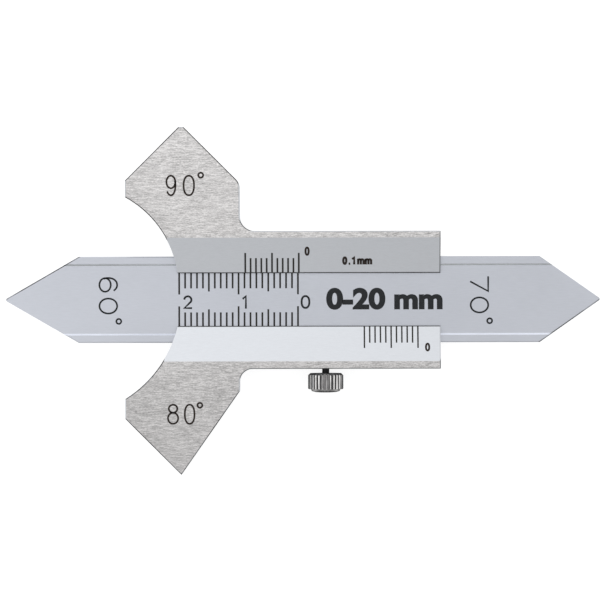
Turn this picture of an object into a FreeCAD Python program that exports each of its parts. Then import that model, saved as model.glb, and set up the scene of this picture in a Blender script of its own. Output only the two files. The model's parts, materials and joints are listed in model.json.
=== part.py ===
import FreeCAD, Part
import math
import os

# Weld gauge in stainless steel, lying on its back, sizes in millimetres.
# A flat beam slides through a slide that carries a 90 degree and an 80 degree head.
# +X runs along the beam from its 60 degree tip to its 70 degree tip.
# +Y points to the 90 degree head and +Z out of the scale face.
# x = 0 is the zero line of the fillet vernier, y = 0 the beam's centre line, z = 0 the back face.

Vector = FreeCAD.Vector

# Gauging geometry
reach = 20.0                # travel of each scale, and depth of the corner that the heads straddle
apex_x = -49.15             # where the 45 degree flanks meet, and the 60 degree tip at reading zero
feet_x = apex_x + reach     # plane of the two feet that stand on a flat plate
rest_reading = -0.15        # fillet reading of the stored pose
edge_break = 0.15           # chamfer on every outer edge of the ground plates

# Engraved lines
line_width = 0.25
line_depth = 0.06
scale_pitch = 1.0           # beam graduations
vernier_parts = 10          # vernier graduations, laid out on nine beam graduations
vernier_pitch = scale_pitch * (vernier_parts - 1) / vernier_parts

# Beam
beam_length = 99.95         # over the rounded tips
beam_width = 14.5
beam_thick = 2.5
left_tip_angle = 60.0
right_tip_angle = 70.0
tip_r = 0.3
recess_width = 12.0         # shallow channel that keeps the scale clear of the lips
recess_depth = 0.3
scale_marks = 20
scale_centre_y = -0.13      # the two rows of graduations lie either side of this line
mark_inner = {10: 1.0, 5: 1.5, 1: 2.02}    # centre to inner end, by the step that a line marks
mark_outer = 5.3            # hidden end, below the lips

# Way that the beam runs in
way_fit = 0.02              # running clearance around the beam
back_wall = 1.5
lip_edge = 0.26             # thickness of the lips at the window
lip_break = 0.1             # bevel broken down to the lips' inner edges at 45 degrees
window_width = 8.9
bevel_width = 20.76         # across both bevels, outer edge to outer edge

# Slide
slide_thick = 6.0
slide_right = 23.8
rail_top = 11.5
rail_bottom = -11.65
lips_left = -20.4
head_reach = 29.4           # apex of each head, from the flanks' meeting point along X and along Y
head_back = 9.8             # apex of each head to its straight back
blunt_width = 0.8           # flat ground on the 90 degree apex
foot_90_low = 17.2
foot_80_low = -16.65
swoop_90 = 17.0             # radii of the hollows between each foot and the lips
swoop_80 = 19.5
shoulder_90 = 2.0
throat_90 = 2.6             # inside radii where the heads meet the rails
throat_80 = 2.2
vernier_long = 3.55
vernier_short = 2.68
vernier_shift = 0.17        # of the outer ends of both verniers, towards -Y

# Gib strip and its two adjusting screws
gib_thick = 0.5
gib_length = 38.0
gib_play = 0.13             # room behind the strip for adjustment
gib_screw_spacing = 20.0
gib_screw_r = 0.8
gib_screw_length = 2.4
dog_r = 0.4
dog_fit = 0.05
dog_length = 0.35
slot_width = 0.3
slot_depth = 0.45

# Lock screw and its swivel pad
lock_x = 4.5
thread_r = 1.0
thread_fit = 0.03
thread_run = 2.2            # threaded length
neck_r = 0.6
neck_length = 1.22
knob_r = 2.97
knob_height = 3.25
knob_teeth = 28
tooth_depth = 0.2
knurl_turn = 0.2            # share of a tooth that the knurl is turned by in the stored pose
knob_chamfer = 0.36
tooth_chamfer = 0.1         # at the outer end of the knurl
crown_r = 2.5               # smooth rounded end beyond the knurl
crown_height = 0.55
pad_r = 0.95
pad_length = 1.08
pad_gap = 0.15              # between pad and thread shoulder
pad_floor = 0.28
button_r = 0.55
button_length = 0.4
stem_r = 0.35
swivel_fit = 0.06

# Levels and positions that follow from the values above
way_height = beam_thick + 2 * way_fit
beam_low = back_wall + way_fit
beam_top = beam_low + beam_thick
recess_floor = beam_top - recess_depth
lip_low = back_wall + way_height
lip_top = lip_low + lip_edge
beam_left = apex_x + rest_reading
way_top = beam_width / 2 + way_fit
gib_inner = -beam_width / 2 - way_fit
gib_outer = gib_inner - gib_thick
way_bottom = gib_outer - gib_play
gib_screw_x = [lock_x - gib_screw_spacing / 2, lock_x + gib_screw_spacing / 2]
cross_z = slide_thick / 2   # height of the three screws


def outline(corners):
    """Closed wire of corners (x, y, rounding radius, radius of a hollow edge to the next)."""
    def at(i):
        return Vector(corners[i % len(corners)][0], corners[i % len(corners)][1], 0)

    joints = []
    for i, (x, y, rounding, hollow) in enumerate(corners):
        if not rounding:
            joints.append((at(i), at(i), None))
            continue
        back = (at(i - 1) - at(i)).normalize()
        onward = (at(i + 1) - at(i)).normalize()
        half = back.getAngle(onward) / 2
        run = rounding / math.tan(half)
        middle = at(i) + (back + onward).normalize() * (rounding / math.sin(half) - rounding)
        joints.append((at(i) + back * run, at(i) + onward * run, middle))
    edges = []
    for i, (x, y, rounding, hollow) in enumerate(corners):
        start, end, middle = joints[i]
        if middle:
            edges.append(Part.Arc(start, middle, end).toShape())
        following = joints[(i + 1) % len(corners)][0]
        if hollow:
            chord = following - end
            sag = hollow - math.sqrt(hollow ** 2 - (chord.Length / 2) ** 2)
            inward = Vector(-chord.y, chord.x, 0).normalize()
            edges.append(Part.Arc(end, (end + following) / 2 + inward * sag, following).toShape())
        else:
            edges.append(Part.makeLine(end, following))
    return Part.Wire(edges)


def plate(corners, low, thick, sharp_x=math.inf):
    """Outline raised from the level low, with its edges broken, but for one straight side."""
    body = Part.Face(outline(corners)).extrude(Vector(0, 0, thick))
    rims = [e for e in body.Edges if e.BoundBox.ZLength < 1e-6
            and any(abs(v.X - sharp_x) > 1e-6 for v in e.Vertexes)]
    body = body.makeChamfer(edge_break, rims)
    body.translate(Vector(0, 0, low))
    return body


def along_x(profile, start, length):
    """Prism along X of a profile given as (y, z) points."""
    points = [Vector(start, y, z) for y, z in profile]
    return Part.Face(Part.makePolygon(points + points[:1])).extrude(Vector(length, 0, 0))


def engraved(x, start, end):
    """Cutter for one engraved line at x, between two (y, z) points of the surface."""
    above = line_depth
    (y0, z0), (y1, z1) = start, end
    profile = [(y0, z0 + above), (y1, z1 + above), (y1, z1 - line_depth), (y0, z0 - line_depth)]
    return along_x(profile, x - line_width / 2, line_width)


def turned(x, profile):
    """Solid turned about a screw axis, from (outward distance, radius) points along -Y."""
    points = [Vector(x, -s, cross_z + r) for s, r in profile]
    points.append(Vector(x, -profile[-1][0], cross_z))
    points.insert(0, Vector(x, -profile[0][0], cross_z))
    face = Part.Face(Part.makePolygon(points + points[:1]))
    return face.revolve(Vector(x, 0, cross_z), Vector(0, 1, 0), 360)


def make_beam():
    half = beam_width / 2
    left_half_angle = math.radians(left_tip_angle / 2)
    right_half_angle = math.radians(right_tip_angle / 2)
    left = beam_left - tip_r * (1 / math.sin(left_half_angle) - 1)
    right = beam_left + beam_length + tip_r * (1 / math.sin(right_half_angle) - 1)
    left_shoulder = left + half / math.tan(left_half_angle)
    right_shoulder = right - half / math.tan(right_half_angle)
    beam = plate([(left, 0, tip_r, 0),
                  (left_shoulder, -half, 0, 0),
                  (right_shoulder, -half, 0, 0),
                  (right, 0, tip_r, 0),
                  (right_shoulder, half, 0, 0),
                  (left_shoulder, half, 0, 0)], beam_low, beam_thick)
    rim, floor = recess_width / 2, recess_width / 2 - recess_depth
    above = beam_top + recess_depth
    recess = along_x([(-rim - recess_depth, above), (-floor, recess_floor), (floor, recess_floor),
                      (rim + recess_depth, above)], beam_left - 1, beam_length + 2)
    beam = beam.cut(recess)
    cutters = []
    for mark in range(scale_marks + 1):
        step = max(s for s in mark_inner if mark % s == 0)
        for side in (1, -1):
            inner = scale_centre_y + side * mark_inner[step]
            cutters.append(engraved(rest_reading - mark * scale_pitch,
                                    (inner, recess_floor), (side * mark_outer, recess_floor)))
    return beam.cut(Part.makeCompound(cutters))


def make_slide():
    lip = window_width / 2
    half_blunt = blunt_width / 2
    head_x = apex_x + head_reach
    head_right = head_x + head_back
    shoulder_y = head_reach - head_back
    corner_80 = head_back / math.tan(math.radians(80 - 45)) - head_reach
    room_90 = shoulder_y - shoulder_90 * math.tan(math.radians(45 / 2)) - rail_top
    room_80 = rail_bottom - corner_80
    body = plate([(slide_right, rail_bottom, 0, 0),
                  (slide_right, rail_top, 0, 0),
                  (head_right, rail_top, min(throat_90, 0.9 * room_90), 0),
                  (head_right, shoulder_y, shoulder_90, 0),
                  (head_x + half_blunt, head_reach - half_blunt, 0, 0),
                  (head_x - half_blunt, head_reach - half_blunt, 0, 0),
                  (feet_x, reach, 0, 0),
                  (feet_x, foot_90_low, 0, swoop_90),
                  (lips_left, lip, 0, 0),
                  (lips_left, -lip, 0, swoop_80),
                  (feet_x, foot_80_low, 0, 0),
                  (feet_x, -reach, 0, 0),
                  (head_x, -head_reach, 0, 0),
                  (head_right, corner_80, 0, 0),
                  (head_right, rail_bottom, min(throat_80, 0.9 * room_80), 0)],
                 0, slide_thick, sharp_x=lips_left)

    bevel = bevel_width / 2
    slope = (slide_thick - lip_top) / (bevel - lip)
    over = bevel + 1 / slope
    crest = lip + lip_break / (1 - slope)
    crest_z = lip_top + (crest - lip) * slope
    way = [(way_bottom, back_wall), (way_top, back_wall), (way_top, lip_low), (lip, lip_low),
           (lip, lip_top - lip_break), (crest, crest_z), (over, slide_thick + 1),
           (-over, slide_thick + 1), (-crest, crest_z), (-lip, lip_top - lip_break),
           (-lip, lip_low), (way_bottom, lip_low)]
    body = body.cut(along_x(way, feet_x, slide_right - feet_x + 1))

    cutters = []
    for side, zero in ((1, 0.0), (-1, reach)):
        for mark in range(vernier_parts + 1):
            length = (vernier_short if mark % 5 else vernier_long) - side * vernier_shift
            start = (side * (lip - 0.2), lip_top - 0.2 * slope)
            end = (side * (lip + length), lip_top + length * slope)
            cutters.append(engraved(zero - mark * vernier_pitch, start, end))
    for x, r in [(lock_x, thread_r + thread_fit)] + [(x, gib_screw_r) for x in gib_screw_x]:
        bore_mouth = Vector(x, rail_bottom - 1, cross_z)
        cutters.append(Part.makeCylinder(r, way_bottom - rail_bottom + 2, bore_mouth, Vector(0, 1, 0)))
    return body.cut(Part.makeCompound(cutters))


def make_gib_strip():
    strip = Part.makeBox(gib_length, gib_thick, beam_thick,
                         Vector(lock_x - gib_length / 2, gib_outer, back_wall))
    for x in gib_screw_x:
        hole = Part.makeCylinder(dog_r + dog_fit, gib_thick + 2, Vector(x, gib_outer - 1, cross_z),
                                 Vector(0, 1, 0))
        strip = strip.cut(hole)
    return strip


def make_gib_screw(x):
    shoulder = -gib_outer
    end = shoulder + gib_screw_length
    screw = turned(x, [(shoulder - dog_length, dog_r), (shoulder, dog_r), (shoulder, gib_screw_r),
                       (end - 0.1, gib_screw_r), (end, gib_screw_r - 0.1)])
    slot = Part.makeBox(3 * gib_screw_r, slot_depth + 1, slot_width,
                        Vector(x - 1.5 * gib_screw_r, -end - 1, cross_z - slot_width / 2))
    return screw.cut(slot)


def make_lock_pad():
    seat = -gib_outer
    floor = seat + pad_floor
    shelf = floor + button_length + swivel_fit
    end = seat + pad_length
    chamfer = 0.1
    pad = turned(lock_x, [(seat, pad_r - chamfer), (seat + chamfer, pad_r), (end, pad_r)])
    return pad.cut(turned(lock_x, [(floor, button_r + swivel_fit), (shelf, button_r + swivel_fit),
                                   (shelf, stem_r + swivel_fit), (end + 1, stem_r + swivel_fit)]))


def make_lock_screw():
    tip = -gib_outer + pad_floor
    thread = -gib_outer + pad_length + pad_gap
    neck = thread + thread_run
    knob = neck + neck_length
    end = knob + knob_height
    lead = 0.15
    shank = turned(lock_x, [(tip, button_r), (tip + button_length, button_r),
                            (tip + button_length, stem_r), (thread, stem_r),
                            (thread, thread_r - lead), (thread + lead, thread_r),
                            (neck - lead, thread_r), (neck, neck_r), (knob + 0.5, neck_r)])
    crown = end - crown_height
    blank = turned(lock_x, [(knob, knob_r - knob_chamfer), (knob + knob_chamfer, knob_r),
                            (crown - tooth_chamfer, knob_r), (crown, knob_r - tooth_chamfer),
                            (crown, crown_r), (crown + 0.6 * crown_height, 0.94 * crown_r),
                            (crown + 0.9 * crown_height, 0.7 * crown_r), (end, 0.4 * crown_r)])
    ring = []
    for tooth in range(knob_teeth):
        for share, radius in ((-0.34, knob_r - tooth_depth), (-0.16, knob_r),
                              (0.16, knob_r), (0.34, knob_r - tooth_depth)):
            angle = 2 * math.pi * (tooth + knurl_turn + share) / knob_teeth
            ring.append(Vector(lock_x + radius * math.sin(angle), -end - 1,
                               cross_z + radius * math.cos(angle)))
    teeth = Part.Face(Part.makePolygon(ring + ring[:1])).extrude(Vector(0, knob_height + 2, 0))
    return shank.fuse(blank.common(teeth)).removeSplitter()


nodes = {
    "beam": make_beam(),
    "slide_body": make_slide(),
    "gib_strip": make_gib_strip(),
    "gib_screw_left": make_gib_screw(gib_screw_x[0]),
    "gib_screw_right": make_gib_screw(gib_screw_x[1]),
    "lock_pad": make_lock_pad(),
    "lock_screw": make_lock_screw(),
}

os.makedirs("parts", exist_ok=True)
for name, shape in nodes.items():
    solid = shape.Solids[0]
    print(name, len(shape.Solids), "solid", round(solid.Volume, 2), "mm3", solid.isValid())
    solid.exportStep("parts/" + name + ".step")
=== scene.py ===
import json
import math

import bpy
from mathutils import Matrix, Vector


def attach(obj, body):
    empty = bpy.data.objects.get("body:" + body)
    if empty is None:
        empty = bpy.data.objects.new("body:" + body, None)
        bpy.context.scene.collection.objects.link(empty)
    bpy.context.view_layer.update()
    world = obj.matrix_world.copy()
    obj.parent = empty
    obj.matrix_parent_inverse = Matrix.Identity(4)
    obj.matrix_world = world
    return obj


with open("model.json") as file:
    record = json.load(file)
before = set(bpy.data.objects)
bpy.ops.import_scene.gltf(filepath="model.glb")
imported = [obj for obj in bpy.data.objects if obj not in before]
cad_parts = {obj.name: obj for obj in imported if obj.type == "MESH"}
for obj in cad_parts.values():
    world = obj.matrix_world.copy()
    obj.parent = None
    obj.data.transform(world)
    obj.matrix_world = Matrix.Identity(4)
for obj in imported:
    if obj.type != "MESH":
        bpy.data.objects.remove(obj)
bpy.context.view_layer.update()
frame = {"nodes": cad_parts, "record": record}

MM = 0.001

# Sizes and places of the solids, in millimetres
SLIDE_TOP = 6.0
SLIDE_RIGHT = 23.8
LIPS_LEFT = -20.4
LIP_TOP = 4.3                           # the bevels' lower edges
LIP_Y = 4.45
BEVEL_Y = 10.38                         # the bevels' upper edges
BEVEL_SLOPE = (SLIDE_TOP - LIP_TOP) / (BEVEL_Y - LIP_Y)
RECESS_FLOOR = 3.72                     # the beam's engraved face
RECESS_DEPTH = 0.3
RECESS_Y = 6.0
LEFT_TIP, RIGHT_TIP = -49.6, 50.87      # where the beam's slanted sides meet on its centre line
LEFT_SLANT, RIGHT_SLANT = math.radians(30), math.radians(35)
SCREW_X, SCREW_Z = 4.5, 3.0             # the lock screw's axis
GIB_SCREW_SHIFT = 10.0                  # of the gib screws from that axis, along X
KNOB_RADIUS = 2.97
KNOB_START = -12.4

# Engraved lines. The ends are those of every line, every fifth and every tenth.
SCALE_ZERO = -0.15
SCALE_PITCH = 1.0
SCALE_LINES = 20
SCALE_CENTRE = -0.13                    # between the scale's two rows of lines
SCALE_ENDS = (2.02, 1.5, 1.0)           # from the scale's centre
VERNIER_PITCH = 0.9
VERNIER_LINES = 10
VERNIER_ENDS = (2.51, 3.38, 3.38)       # from the lip

# Colours
GROUND_STEEL = (0.587, 0.576, 0.573)
BEVEL_STEEL = (0.626, 0.645, 0.678)
SATIN_STEEL = (0.555, 0.575, 0.627)
EDGE_SHADE = (0.012, 0.012, 0.012)
INK = (0.03, 0.0285, 0.027)
WARM_PAINT = (0.022, 0.016, 0.013)
COOL_PAINT = (0.015, 0.017, 0.019)
NECK = (0.02, 0.02, 0.021)
SOOT = (0.062, 0.062, 0.063)
GIB_SCREW = (0.36, 0.36, 0.365)
WORN_CREST_AND_HIGHLIGHT = (0.56, 0.553, 0.546)
PAINTED_DULL_REFLECTION = (0.34, 0.331, 0.331)
BRASS = (0.62, 0.42, 0.15)


# Materials

class Nodes:
    """A node tree, built with short calls."""

    def __init__(self, tree):
        self.tree = tree

    def add(self, kind):
        return self.tree.nodes.new("ShaderNode" + kind)

    def plug(self, socket, value):
        if isinstance(value, bpy.types.NodeSocket):
            self.tree.links.new(value, socket)
        else:
            socket.default_value = value

    def split(self, value):
        node = self.add("SeparateXYZ")
        self.plug(node.inputs[0], value)
        return node.outputs

    def join(self, x, y, z):
        node = self.add("CombineXYZ")
        for socket, value in zip(node.inputs, (x, y, z)):
            self.plug(socket, value)
        return node.outputs[0]

    def vector(self, operation, a, b):
        node = self.add("VectorMath")
        node.operation = operation
        self.plug(node.inputs[0], a)
        self.plug(node.inputs[1], b)
        return node.outputs["Vector"]

    def scaled(self, value, amount):
        """A vector or a colour times a number."""
        node = self.add("VectorMath")
        node.operation = "SCALE"
        self.plug(node.inputs[0], value)
        self.plug(node.inputs["Scale"], amount)
        return node.outputs["Vector"]

    def math(self, operation, a, b=0.0, c=0.0):
        node = self.add("Math")
        node.operation = operation
        for socket, value in zip(node.inputs, (a, b, c)):
            self.plug(socket, value)
        return node.outputs[0]

    def absolute(self, value):
        return self.math("ABSOLUTE", value)

    def less(self, a, b):
        """a minus b."""
        return self.math("SUBTRACT", a, b)

    def line(self, value, gain, offset):
        """gain times value, plus offset."""
        return self.math("MULTIPLY_ADD", value, gain, offset)

    def folded(self, operation, values):
        result = values[0]
        for value in values[1:]:
            result = self.math(operation, result, value)
        return result

    def total(self, *values):
        return self.folded("ADD", values)

    def product(self, *values):
        return self.folded("MULTIPLY", values)

    def largest(self, *values):
        return self.folded("MAXIMUM", values)

    def step(self, value, low, high, start=0.0, end=1.0):
        """Smooth change from start to end while value goes from low to high."""
        node = self.add("MapRange")
        node.interpolation_type = "SMOOTHSTEP"
        for socket, item in zip(node.inputs, (value, low, high, start, end)):
            self.plug(socket, item)
        return node.outputs[0]

    def below(self, value, low, high):
        """1 below low, 0 above high."""
        return self.step(value, low, high, 1.0, 0.0)

    def within(self, value, low, high, edge=0.005):
        """1 between low and high, 0 outside."""
        return self.product(self.step(value, low - edge, low + edge),
                            self.below(value, high - edge, high + edge))

    def mix(self, factor, a, b):
        node = self.add("Mix")
        node.data_type = "RGBA"
        colours = [s for s in node.inputs if s.type == "RGBA"]
        self.plug(node.inputs[0], factor)
        for socket, value in zip(colours, (a, b)):
            self.plug(socket, value if isinstance(value, bpy.types.NodeSocket) else (*value, 1.0))
        return next(s for s in node.outputs if s.type == "RGBA")


class Graph(Nodes):
    """A material. Its point is in millimetres, in the frame of the solids at rest."""

    def __init__(self, name):
        self.material = bpy.data.materials.new(name)
        self.material.use_nodes = True
        super().__init__(self.material.node_tree)
        self.bsdf = self.tree.nodes["Principled BSDF"]
        self.point = self.scaled(self.add("TexCoord").outputs["Object"], 1 / MM)
        self.x, self.y, self.z = self.split(self.point)
        self.nx, self.ny, self.nz = self.split(self.add("NewGeometry").outputs["True Normal"])

    def plane_gap(self, start_x, inward):
        """Distance from an upright plane through (start_x, 0), along its inward normal (x, y)."""
        return self.total(self.product(self.less(self.x, start_x), inward[0]),
                          self.product(self.y, inward[1]))

    def noise(self, scales, detail=3.0, roughness=0.6, offset=0.0, point=None):
        """Noise from 0 to 1, stretched by one scale per axis, in cycles per millimetre."""
        node = self.add("TexNoise")
        stretched = self.vector("MULTIPLY", point or self.point, scales)
        self.plug(node.inputs["Vector"], self.vector("ADD", stretched, (offset,) * 3))
        node.inputs["Scale"].default_value = 1.0
        node.inputs["Detail"].default_value = detail
        node.inputs["Roughness"].default_value = roughness
        return node.outputs["Fac"]

    def spread(self, noise, start, end):
        """Noise brought to a range from start to end. Most of it lies between 0.3 and 0.7."""
        return self.step(noise, 0.3, 0.7, start, end)

    def bump(self, height, distance, strength):
        node = self.add("Bump")
        self.plug(node.inputs["Height"], height)
        node.inputs["Distance"].default_value = distance * MM
        node.inputs["Strength"].default_value = strength
        self.plug(self.bsdf.inputs["Normal"], node.outputs[0])

    def finish(self, colour, roughness, metallic):
        self.plug(self.bsdf.inputs["Base Color"], colour)
        self.plug(self.bsdf.inputs["Roughness"], roughness)
        self.plug(self.bsdf.inputs["Metallic"], metallic)
        return self.material

    def finish_engraved(self, colour, roughness, cut):
        """Steel with ink where cut is 1. The ink is rougher than the steel, and no metal."""
        return self.finish(self.mix(cut, colour, INK), self.line(cut, 0.2, roughness),
                           self.line(cut, -1.0, 1.0))


def engraving(g, depth, where):
    """Floor and side walls of the engraved lines, at a depth below the surface in millimetres."""
    g.bsdf.inputs["IOR"].default_value = 1.2
    floor = g.product(g.within(depth, 0.03, 0.09), g.step(g.nz, 0.5, 0.6))
    wall = g.product(g.within(depth, 0.004, 0.09, 0.002), g.step(g.absolute(g.nx), 0.95, 0.99),
                     g.within(g.x, LIPS_LEFT + 0.04, SLIDE_RIGHT - 0.2))
    return g.product(g.largest(floor, wall), where)


def inked(g, zero, pitch, count, ends, distance):
    """Ink that spreads a little past a row of lines, up to a distance that depends on the line."""
    along = g.less(g.x, zero)
    to_line, to_fifth, to_tenth = (g.math("PINGPONG", along, lines * pitch / 2) for lines in (1, 5, 10))
    end = g.line(g.below(to_fifth, 0.3, 0.4), ends[1] - ends[0], ends[0])
    end = g.line(g.below(to_tenth, 0.3, 0.4), ends[2] - ends[1], end)
    return g.product(g.below(to_line, 0.135, 0.165), g.step(g.less(end, distance), -0.02, 0.02),
                     g.within(along, -count * pitch - 0.2, 0.2))


def slide_steel():
    """Flat faces with a short wavy grain along the beam, smoother bluish bevels, painted light across the
    flat faces and painted shade on the broken edges.
    """
    g = Graph("ground_steel")
    facing = g.absolute(g.nz)
    flat = g.step(facing, 0.985, 0.995)
    chamfer = g.within(facing, 0.5, 0.85)
    wall = g.below(facing, 0.3, 0.4)
    from_centre = g.absolute(g.y)

    # Grain, bent a little, with fine scratches, and stains on the upper rail near its right end
    bend = g.product(g.less(g.noise((0.35, 0.35, 0.35), 1.0, 0.5, 5.0), 0.5), 0.6)
    wavy = g.join(g.x, g.total(g.y, bend), g.z)
    grain = g.noise((0.85, 6.4, 6.4), 2.0, 0.62, point=wavy)
    scratch = g.noise((3.2, 9.0, 9.0), 0.0, 0.5, 3.0, wavy)
    cloud = g.noise((0.12, 0.3, 0.3), 2.0, 0.5, 7.0)
    darkening = g.step(g.noise((0.9, 3.0, 3.0), 2.0, 0.6, 11.0), 0.5, 0.62, 0.0, 0.5)
    stains = g.product(darkening, g.step(g.x, 12.0, 18.0), g.step(g.y, 9.0, 10.0))
    streak = g.total(g.spread(grain, -0.5, 0.5), g.spread(scratch, -0.3, 0.3),
                     g.spread(cloud, -0.09, 0.09))
    strength = g.line(flat, 0.44, g.line(wall, 0.2, 0.035))
    streaked = g.line(g.less(streak, stains), strength, 1.0)

    # Painted light: on the flat faces the colour grows lighter towards +X and +Y, on the other faces a
    # little darker towards +X. The side walls are a fifth darker.
    painted_light_drift = g.line(g.y, 0.0043, g.line(g.x, 0.003, -0.01))
    tone_and_painted_light = g.line(painted_light_drift, flat, g.line(g.x, -0.0015, g.line(wall, -0.2, 1.0)))
    colour = g.scaled(g.mix(flat, BEVEL_STEEL, GROUND_STEEL), g.product(tone_and_painted_light, streaked))

    # Painted shade on the broken edges, patchy, darkest where they run aslant, face -Y, end the rails or
    # end the lips, and painted shade at the bevels' right end
    slanted = g.step(g.absolute(g.product(g.nx, g.ny)), 0.08, 0.2)
    lower = g.step(g.ny, -0.65, -0.5, 0.8, 0.0)
    rail_end = g.product(g.step(g.nx, 0.5, 0.65, 0.0, 0.85), g.step(g.x, 20.0, 21.0))
    lip_edge = g.step(from_centre, 4.7, 4.9, 0.8, 0.0)
    patchy_shade = g.step(g.noise((0.12, 0.12, 0.12), 1.0, 0.5, 9.0), 0.35, 0.6, 0.8, 1.0)
    dark = g.product(chamfer, patchy_shade, g.largest(slanted, 0.25, lower, rail_end, lip_edge))
    bevel_end_shade = g.product(g.step(g.x, SLIDE_RIGHT - 0.2, SLIDE_RIGHT - 0.1), g.within(g.nz, 0.93, 0.97),
                          g.step(g.y, -0.1, 0.1, 0.2, 0.75))
    colour = g.mix(g.largest(dark, bevel_end_shade), colour, EDGE_SHADE)

    # Vernier lines, with ink past the lines of the upper one
    surface = g.line(g.less(from_centre, LIP_Y), BEVEL_SLOPE, LIP_TOP)
    cut = engraving(g, g.less(surface, g.z), g.within(from_centre, LIP_Y - 0.2, 9.0))
    extra = inked(g, 0.0, VERNIER_PITCH, VERNIER_LINES, VERNIER_ENDS, g.less(g.y, LIP_Y))
    on_bevel_above = g.product(g.within(g.nz, 0.9, 0.985), g.within(g.y, LIP_Y - 0.05, 9.0))
    cut = g.largest(cut, g.product(extra, on_bevel_above))

    g.bump(g.product(g.total(grain, scratch), g.line(flat, 0.8, 0.1)), 0.01, 0.35)
    return g.finish_engraved(colour, g.line(scratch, 0.1, g.line(flat, 0.04, 0.33)), cut)


def beam_steel():
    """Smooth satin steel, with painted light on the recess walls and painted shade on the chamfers and
    along the edges of the tips.
    """
    g = Graph("satin_steel")
    from_centre = g.absolute(g.y)
    grain = g.noise((0.6, 7.0, 7.0), 3.0, 0.55)
    cloud = g.noise((0.08, 0.12, 0.12), 2.0, 0.5, 4.0)
    # Painted light on the recess walls, more on the wall that faces -Y
    recess_wall = g.product(g.within(from_centre, RECESS_Y - RECESS_DEPTH - 0.01, RECESS_Y + 0.01),
                            g.step(g.absolute(g.ny), 0.69, 0.7))
    painted_wall_light = g.product(recess_wall, g.step(g.ny, 0.0, 0.1, 0.73, 0.5))
    tone_and_painted_light = g.total(g.spread(grain, -0.02, 0.02), g.spread(cloud, -0.015, 0.015), painted_wall_light, 1.0)
    colour = g.scaled(SATIN_STEEL, tone_and_painted_light)

    # Painted shade on the chamfers, growing towards +X
    chamfer = g.product(g.within(g.nz, 0.5, 0.85), g.less(1.0, recess_wall))
    colour = g.mix(g.product(chamfer, g.step(g.x, -25.0, 5.0, 0.0, 0.15)), colour, EDGE_SHADE)
    # Painted shade along the edges of the tips, patchy
    left = g.plane_gap(LEFT_TIP, (math.sin(LEFT_SLANT), -math.cos(LEFT_SLANT)))
    right = g.plane_gap(RIGHT_TIP, (-math.sin(RIGHT_SLANT), math.cos(RIGHT_SLANT)))
    darkening = g.step(g.math("MINIMUM", left, right), 0.13, 0.2, 0.9, 0.0)
    patchy = g.step(g.noise((0.3, 0.3, 0.3), 2.0, 0.5, 2.0), 0.3, 0.6, 0.5, 1.0)
    colour = g.mix(g.product(darkening, patchy, g.step(g.nz, 0.5, 0.6)), colour, EDGE_SHADE)

    # Scale lines in two rows, with ink that ends at a distance from the scale's centre
    cut = engraving(g, g.less(RECESS_FLOOR, g.z), g.below(from_centre, 5.5, 5.6))
    inward = g.product(g.absolute(g.less(g.y, SCALE_CENTRE)), -1.0)
    extra = inked(g, SCALE_ZERO, SCALE_PITCH, SCALE_LINES, [-end for end in SCALE_ENDS], inward)
    cut = g.largest(cut, g.product(extra, g.below(from_centre, 5.28, 5.32), g.step(g.nz, 0.9, 0.95)))

    g.bump(grain, 0.006, 0.25)
    return g.finish_engraved(colour, 0.36, cut)


def screw_steel():
    """Darkened turned steel. The knob has soot in its knurl, crests and ends bright with wear, painted
    shade on the crests at its sides, a painted highlight at the centre of its end towards +Y and a
    painted reflection that dulls its centre teeth.
    """
    g = Graph("knurled_steel")
    across, height = g.less(g.x, SCREW_X), g.less(g.z, SCREW_Z)
    aside = g.absolute(across)
    radius = g.math("SQRT", g.total(g.product(across, across), g.product(height, height)))
    end_slope = g.absolute(g.ny)
    knob = g.below(g.y, KNOB_START - 0.02, KNOB_START + 0.04)

    # Crests bright with wear, with painted shade that dims them at the knob's sides
    crest_wear_and_side_shade = g.product(g.step(radius, KNOB_RADIUS - 0.17, KNOB_RADIUS - 0.05), knob,
                      g.step(aside, 2.5, 2.8, 1.0, 0.1))
    # Chamfered ends bright with wear; on the end towards +Y only the centre stays bright, a painted
    # highlight
    corners = g.product(g.step(aside, 1.0, 1.9), g.step(g.ny, 0.0, 0.1))
    ends = g.product(g.within(end_slope, 0.3, 0.9, 0.05), g.step(radius, 1.0, 1.5), knob,
                     g.less(1.0, corners))
    wear_and_painted_light = g.largest(crest_wear_and_side_shade, g.product(ends, 0.6))
    # Teeth in the centre made dull and rougher, a painted reflection
    painted_middle_reflection = g.product(g.below(g.absolute(g.total(across, 0.13)), 0.6, 0.72), knob,
                       g.step(height, 2.5, 2.6), g.below(end_slope, 0.2, 0.3))

    gib_screw = g.step(aside, GIB_SCREW_SHIFT / 2, GIB_SCREW_SHIFT / 2 + 0.1)
    dark = g.mix(gib_screw, g.mix(knob, NECK, SOOT), GIB_SCREW)
    colour = g.mix(g.product(painted_middle_reflection, 0.85), g.mix(wear_and_painted_light, dark, WORN_CREST_AND_HIGHLIGHT), PAINTED_DULL_REFLECTION)
    colour = g.scaled(colour, g.spread(g.noise((3.0, 0.8, 3.0)), 0.75, 1.2))
    g.bsdf.inputs["Specular Tint"].default_value = (0.15, 0.15, 0.15, 1.0)
    g.bump(g.noise((1.0, 12.0, 12.0), 2.0), 0.01, 0.4)
    polish = g.step(wear_and_painted_light, 0.0, 1.0, 0.42, 0.2)
    return g.finish(colour, g.largest(polish, g.product(painted_middle_reflection, 0.6)), 1.0)


def gib_brass():
    g = Graph("plain_brass")
    patch = g.noise((0.6, 4.0, 4.0))
    g.bump(patch, 0.006, 0.3)
    return g.finish(g.scaled(BRASS, g.spread(patch, 0.85, 1.1)), 0.34, 1.0)


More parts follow.
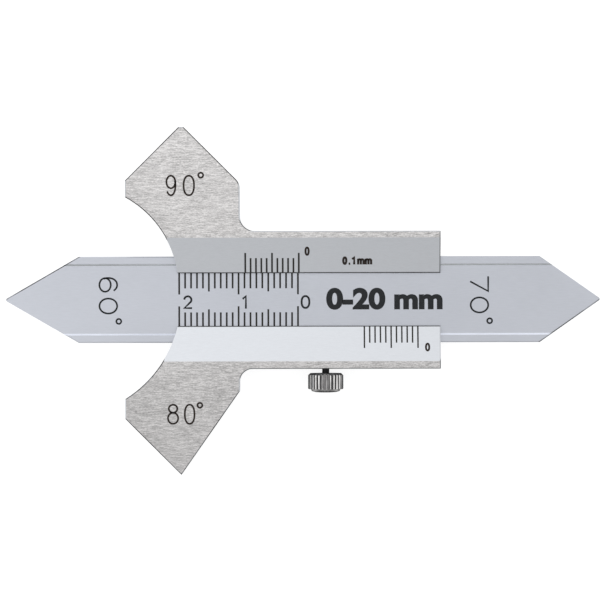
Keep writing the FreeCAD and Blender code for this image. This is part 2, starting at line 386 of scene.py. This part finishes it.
def paint(name, colour):
    """Speckled paint of the numerals."""
    g = Graph(name)
    g.bsdf.inputs["Specular IOR Level"].default_value = 0.2
    speckle = g.spread(g.noise((6.0, 6.0, 6.0), 2.0), 0.75, 1.35)
    return g.finish(g.scaled(colour, speckle), 0.6, 0.0)


materials = {
    "slide_steel": slide_steel(),
    "beam_steel": beam_steel(),
    "screw_steel": screw_steel(),
    "gib_brass": gib_brass(),
}
for part in frame["record"]["subparts"]:
    for held in frame["nodes"][part["node"]].material_slots:
        held.material = materials[part["material_slot"]]
paints = {"slide": paint("warm_paint", WARM_PAINT), "beam": paint("cool_paint", COOL_PAINT)}


# Numerals and marks, in millimetres

PAINT_TOP, PAINT_FOOT = 0.012, -0.02    # heights of a mark's two faces over the surface under it
SAME_PLACE = 1e-6


def flat_on(z):
    """Surface of constant height: maps (x, y, lift) in millimetres to metres."""
    return lambda x, y, lift: Vector((x, y, z + lift)) * MM


def on_bevel(x, y, lift):
    """Surface of the bevelled lips, in the same way."""
    return Vector((x, y, LIP_TOP + (abs(y) - LIP_Y) * BEVEL_SLOPE + lift)) * MM


def upright(x, y):
    """Text frame with its lower left corner at x, y."""
    return lambda u, v: (x + u, y + v)


def turned_right(x, y):
    """Text frame turned a quarter clockwise, so that it reads towards -Y."""
    return lambda u, v: (x + v, y - u)


def place_mark(name, mesh, body):
    """Paint a mark and fix it to its body."""
    mesh.materials.append(paints[body])
    made = bpy.data.objects.new(name, mesh)
    bpy.context.collection.objects.link(made)
    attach(made, body)


def longer(points, extra):
    """An open path made longer at both ends."""
    start = points[0] + (points[0] - points[1]).normalized() * extra
    end = points[-1] + (points[-1] - points[-2]).normalized() * extra
    return [start] + points[1:-1] + [end]


def sideways(before, point, after):
    """Unit vector to a path's left side, or a longer one at a bend, so that a stroke keeps its width."""
    sharpest, longest = 0.4, 1.6
    arriving, leaving = point - before, after - point
    along = (after - before).normalized()
    reach = 1.0
    if arriving.length > SAME_PLACE and leaving.length > SAME_PLACE:
        along = (arriving.normalized() + leaving.normalized()).normalized()
        reach = min(1 / max(along.dot(arriving.normalized()), sharpest), longest)
    return Vector((-along.y, along.x)) * reach


def strokes(name, paths, width, frame_of, surface, body):
    """Painted lines of one width along paths of (u, v) points, closed where a path ends at its start."""
    vertices, faces = [], []
    for path in paths:
        points = [Vector(p) for p in path]
        closed = (points[0] - points[-1]).length < SAME_PLACE
        points = points[:-1] if closed else longer(points, width / 3)
        count = len(points)
        base = len(vertices)
        for i, point in enumerate(points):
            before = points[i - 1] if closed or i else point
            after = points[(i + 1) % count] if closed or i < count - 1 else point
            side = sideways(before, point, after) * width / 2
            corners = ((side, PAINT_TOP), (-side, PAINT_TOP), (-side, PAINT_FOOT), (side, PAINT_FOOT))
            vertices += [surface(*frame_of(*(point + offset)), lift) for offset, lift in corners]
        for i in range(count if closed else count - 1):
            here, there = base + 4 * i, base + 4 * ((i + 1) % count)
            for k in range(4):
                n = (k + 1) % 4
                faces.append((here + k, here + n, there + n, there + k))
        if not closed:
            last = base + 4 * (count - 1)
            faces.append((base + 3, base + 2, base + 1, base))
            faces.append((last, last + 1, last + 2, last + 3))
    mesh = bpy.data.meshes.new(name)
    mesh.from_pydata(vertices, [], faces)
    mesh.validate()
    place_mark(name, mesh, body)


def oval(cu, cv, ru, rv, start=0.0, end=360.0, steps=48, squareness=2.0):
    """Arc of an ellipse, or of a squarer oval, between two angles in degrees."""
    points = []
    power = 2 / squareness
    for i in range(steps + 1):
        angle = math.radians(start + (end - start) * i / steps)
        c, s = math.cos(angle), math.sin(angle)
        points.append((cu + ru * math.copysign(abs(c) ** power, c),
                       cv + rv * math.copysign(abs(s) ** power, s)))
    if abs(end - start) == 360.0:
        points[-1] = points[0]
    return points


def arch(left, width, height):
    """One arch of an m, with its right leg."""
    radius = width / 2
    return oval(left + radius, height * 0.7, radius, height * 0.3, 180, 0, 12) + [(left + width, 0)]


def digit(character, width, height):
    """Single-line strokes of an engraved character in a box of that width and height."""
    u, v = width / 2, height / 2
    if character == "0":
        return [oval(u, v, u, v, squareness=2.25 if width < 0.7 * height else 2.02)]
    if character == "9":
        return [oval(u, height * 0.68, u * 0.97, height * 0.32), oval(u, v, u, v, 25, -140, 32, 2.1)]
    if character == "6":
        return [[(width - a, height - b) for a, b in path] for path in digit("9", width, height)]
    if character == "8":
        return [oval(u, height * 0.29, u, height * 0.29), oval(u, height * 0.79, u * 0.84, height * 0.21)]
    if character == "7":
        return [[(0, height), (width, height), (width * 0.33, 0)]]
    if character == "1":
        return [[(width * 0.1, height * 0.8), (width * 0.75, height), (width * 0.75, 0)]]
    if character == "2":
        top = oval(u, height * 0.7, u, height * 0.3, 165, -35, 24)
        return [top + [(width * 0.02, 0), (width, 0)]]
    if character == "m":
        return [[(0, 0), (0, height)], arch(0, u, height), arch(u, u, height)]
    if character == ".":
        return [[(0, 0), (width, 0)]]
    raise ValueError(character)


def shift(paths, du, dv):
    return [[(u + du, v + dv) for u, v in path] for path in paths]


def printed(name, text, left, bottom, width, height, weight, surface, body):
    """Bold lettering fitted to a box, from the built-in typeface. Its extrusion tells top from foot."""
    curve = bpy.data.curves.new(name, "FONT")
    curve.body = text
    curve.offset = weight
    curve.extrude = 0.01
    typed = bpy.data.objects.new(name + "_text", curve)
    bpy.context.collection.objects.link(typed)
    bpy.context.view_layer.update()
    mesh = bpy.data.meshes.new_from_object(typed.evaluated_get(bpy.context.evaluated_depsgraph_get()))
    bpy.data.objects.remove(typed)
    us, vs = [v.co.x for v in mesh.vertices], [v.co.y for v in mesh.vertices]
    low_u, low_v = min(us), min(vs)
    wide, high = max(us) - low_u, max(vs) - low_v
    for vertex in mesh.vertices:
        x = left + (vertex.co.x - low_u) / wide * width
        y = bottom + (vertex.co.y - low_v) / high * height
        vertex.co = surface(x, y, PAINT_TOP if vertex.co.z > 0 else PAINT_FOOT)
    mesh.materials.clear()
    place_mark(name, mesh, body)


ANGLE_LINE = {"slide": 0.31, "beam": 0.3}
DEGREE_RADIUS = 0.41
ANGLE_MARKS = (
    # name, digits with left edge and width, height, centre of the degree sign, frame, surface, body
    ("mark_90", (("9", 0.0, 1.53), ("0", 2.9, 1.75)), 3.27, (5.77, 3.35),
     upright(-22.2, 17.52), flat_on(SLIDE_TOP), "slide"),
    ("mark_80", (("8", 0.0, 1.7), ("0", 2.82, 1.62)), 3.2, (5.35, 3.1),
     upright(-21.99, -20.82), flat_on(SLIDE_TOP), "slide"),
    ("mark_60", (("6", 0.0, 2.35), ("0", 3.47, 2.52)), 2.98, (7.32, 3.25),
     turned_right(-33.58, 3.68), flat_on(RECESS_FLOOR), "beam"),
    ("mark_70", (("7", 0.0, 2.4), ("0", 3.45, 2.53)), 2.95, (7.38, 3.19),
     turned_right(28.93, 3.73), flat_on(RECESS_FLOOR), "beam"),
)
for name, digits, height, (cu, cv), frame_of, surface, body in ANGLE_MARKS:
    paths = []
    for character, left, width in digits:
        paths += shift(digit(character, width, height), left, 0)
    paths.append(oval(cu, cv, DEGREE_RADIUS, DEGREE_RADIUS, steps=28))
    strokes(name, paths, ANGLE_LINE[body], frame_of, surface, body)

SCALE_LINE, SCALE_HEIGHT, SCALE_BASE = 0.34, 1.98, -1.42
SCALE_MARKS = (("mark_scale_0", "0", 0.46, 1.3), ("mark_scale_1", "1", -9.45, 0.7),
               ("mark_scale_2", "2", -19.3, 1.2))
for name, character, left, width in SCALE_MARKS:
    strokes(name, digit(character, width, SCALE_HEIGHT), SCALE_LINE, upright(left, SCALE_BASE),
            flat_on(RECESS_FLOOR), "beam")

BOLD_MARKS = (
    # name, left, bottom, line, characters with their left edge, width and height
    ("mark_fillet_zero", 0.96, 7.34, 0.34, (("0", 0.0, 0.87, 1.52),)),
    ("mark_butt_zero", 21.17, -8.77, 0.33, (("0", 0.0, 0.87, 1.46),)),
    ("mark_unit", 7.29, 5.8, 0.38, (("0", 0.0, 0.88, 1.42), (".", 1.02, 0.4, 0.38),
                                    ("1", 1.55, 0.75, 1.42), ("m", 2.5, 1.28, 1.1),
                                    ("m", 3.78, 1.28, 1.1))),
)
for name, x, y, line, characters in BOLD_MARKS:
    paths = []
    for character, left, width, height in characters:
        paths += shift(digit(character, width - line, height - line), left + line / 2, line / 2)
    strokes(name, paths, line, upright(x, y), on_bevel, "slide")

printed("mark_range", "0-20 mm", 4.6, -1.75, 19.6, 3.7, 0.045, flat_on(RECESS_FLOOR), "beam")


# Floor

def floor_white():
    """Matt grey, with a white glow that only the camera and reflections see, so that it lights little."""
    material = bpy.data.materials.new("floor_white")
    material.use_nodes = True
    g = Nodes(material.node_tree)
    g.tree.nodes.clear()
    ray = g.add("LightPath").outputs
    seen = g.largest(ray["Is Camera Ray"], ray["Is Glossy Ray"], ray["Is Transmission Ray"])
    glow = g.add("Emission")
    g.plug(glow.inputs["Strength"], g.product(seen, 0.85))
    matt = g.add("BsdfDiffuse")
    matt.inputs["Color"].default_value = (0.3, 0.3, 0.3, 1)
    both = g.add("AddShader")
    g.plug(both.inputs[0], glow.outputs[0])
    g.plug(both.inputs[1], matt.outputs[0])
    g.plug(g.add("OutputMaterial").inputs["Surface"], both.outputs[0])
    return material


HALF_FLOOR = 4.0
floor_mesh = bpy.data.meshes.new("floor")
floor_mesh.from_pydata([(-HALF_FLOOR, -HALF_FLOOR, 0), (HALF_FLOOR, -HALF_FLOOR, 0),
                        (HALF_FLOOR, HALF_FLOOR, 0), (-HALF_FLOOR, HALF_FLOOR, 0)],
                       [], [(0, 1, 2, 3)])
floor_mesh.materials.append(floor_white())
floor = bpy.data.objects.new("floor", floor_mesh)
floor.location.z = -0.1 * MM
bpy.context.collection.objects.link(floor)


# Light

def light_tent():
    """Soft light from all round, brighter towards +Y, where there is a window high up.

    The roof is darker right overhead. The sides are greyer, but for white panels at -X, +X and +Y.
    """
    world = bpy.data.worlds.new("tent")
    world.use_nodes = True
    g = Nodes(world.node_tree)
    east, north, up = g.split(g.add("TexCoord").outputs["Generated"])
    roof = g.step(up, 0.7, 1.0, 1.05, 0.655)
    panels = g.largest(g.step(g.absolute(east), 0.75, 0.92), g.step(north, 0.75, 0.92))
    sides = g.line(panels, 0.26, 0.6)
    high = g.step(up, 0.45, 0.78)
    tent = g.total(g.product(roof, high), g.product(sides, g.less(1.0, high)))
    window = g.product(g.step(north, 0.15, 0.5), g.step(up, 0.68, 0.84), 0.27)
    background = g.tree.nodes["Background"]
    background.inputs["Color"].default_value = (1, 1, 1, 1)
    g.plug(background.inputs["Strength"], g.line(north, 0.27, g.total(tent, window)))
    return world


def soft_lamp(name, place, width, height, power):
    """Area lamp that faces the origin. Sizes in metres, power in watts."""
    lamp = bpy.data.lights.new(name, "AREA")
    lamp.shape = "RECTANGLE"
    lamp.size, lamp.size_y = width, height
    lamp.energy = power
    made = bpy.data.objects.new(name, lamp)
    made.location = place
    made.rotation_euler = (-Vector(place)).to_track_quat("-Z", "Y").to_euler()
    bpy.context.collection.objects.link(made)


bpy.context.scene.world = light_tent()
soft_lamp("key", (-0.25, 0.95, 0.75), 1.0, 0.6, 0.6)
soft_lamp("left", (-0.46, 0.0, 0.56), 0.4, 1.0, 0.85)
soft_lamp("right", (0.52, 0.0, 0.5), 0.45, 1.1, 0.62)


# Camera, straight above the beam's engraved face

PICTURE_PIXELS = 600
PIXELS_PER_MM = 5.9385
DISTANCE = 0.6                          # in metres, from that face
SENSOR = 36.0
CAMERA_X, CAMERA_Y = 0.19, -0.093       # in millimetres
ROLL = -0.002

camera_data = bpy.data.cameras.new("camera")
camera_data.sensor_width = SENSOR
camera_data.lens = SENSOR * DISTANCE / (PICTURE_PIXELS / PIXELS_PER_MM * MM)
camera_data.clip_start, camera_data.clip_end = 0.05, 20.0
camera = bpy.data.objects.new("camera", camera_data)
camera.location = (CAMERA_X * MM, CAMERA_Y * MM, RECESS_FLOOR * MM + DISTANCE)
camera.rotation_euler = (0, 0, ROLL)
bpy.context.collection.objects.link(camera)
bpy.context.scene.camera = camera

bpy.context.scene.view_settings.view_transform = "Standard"
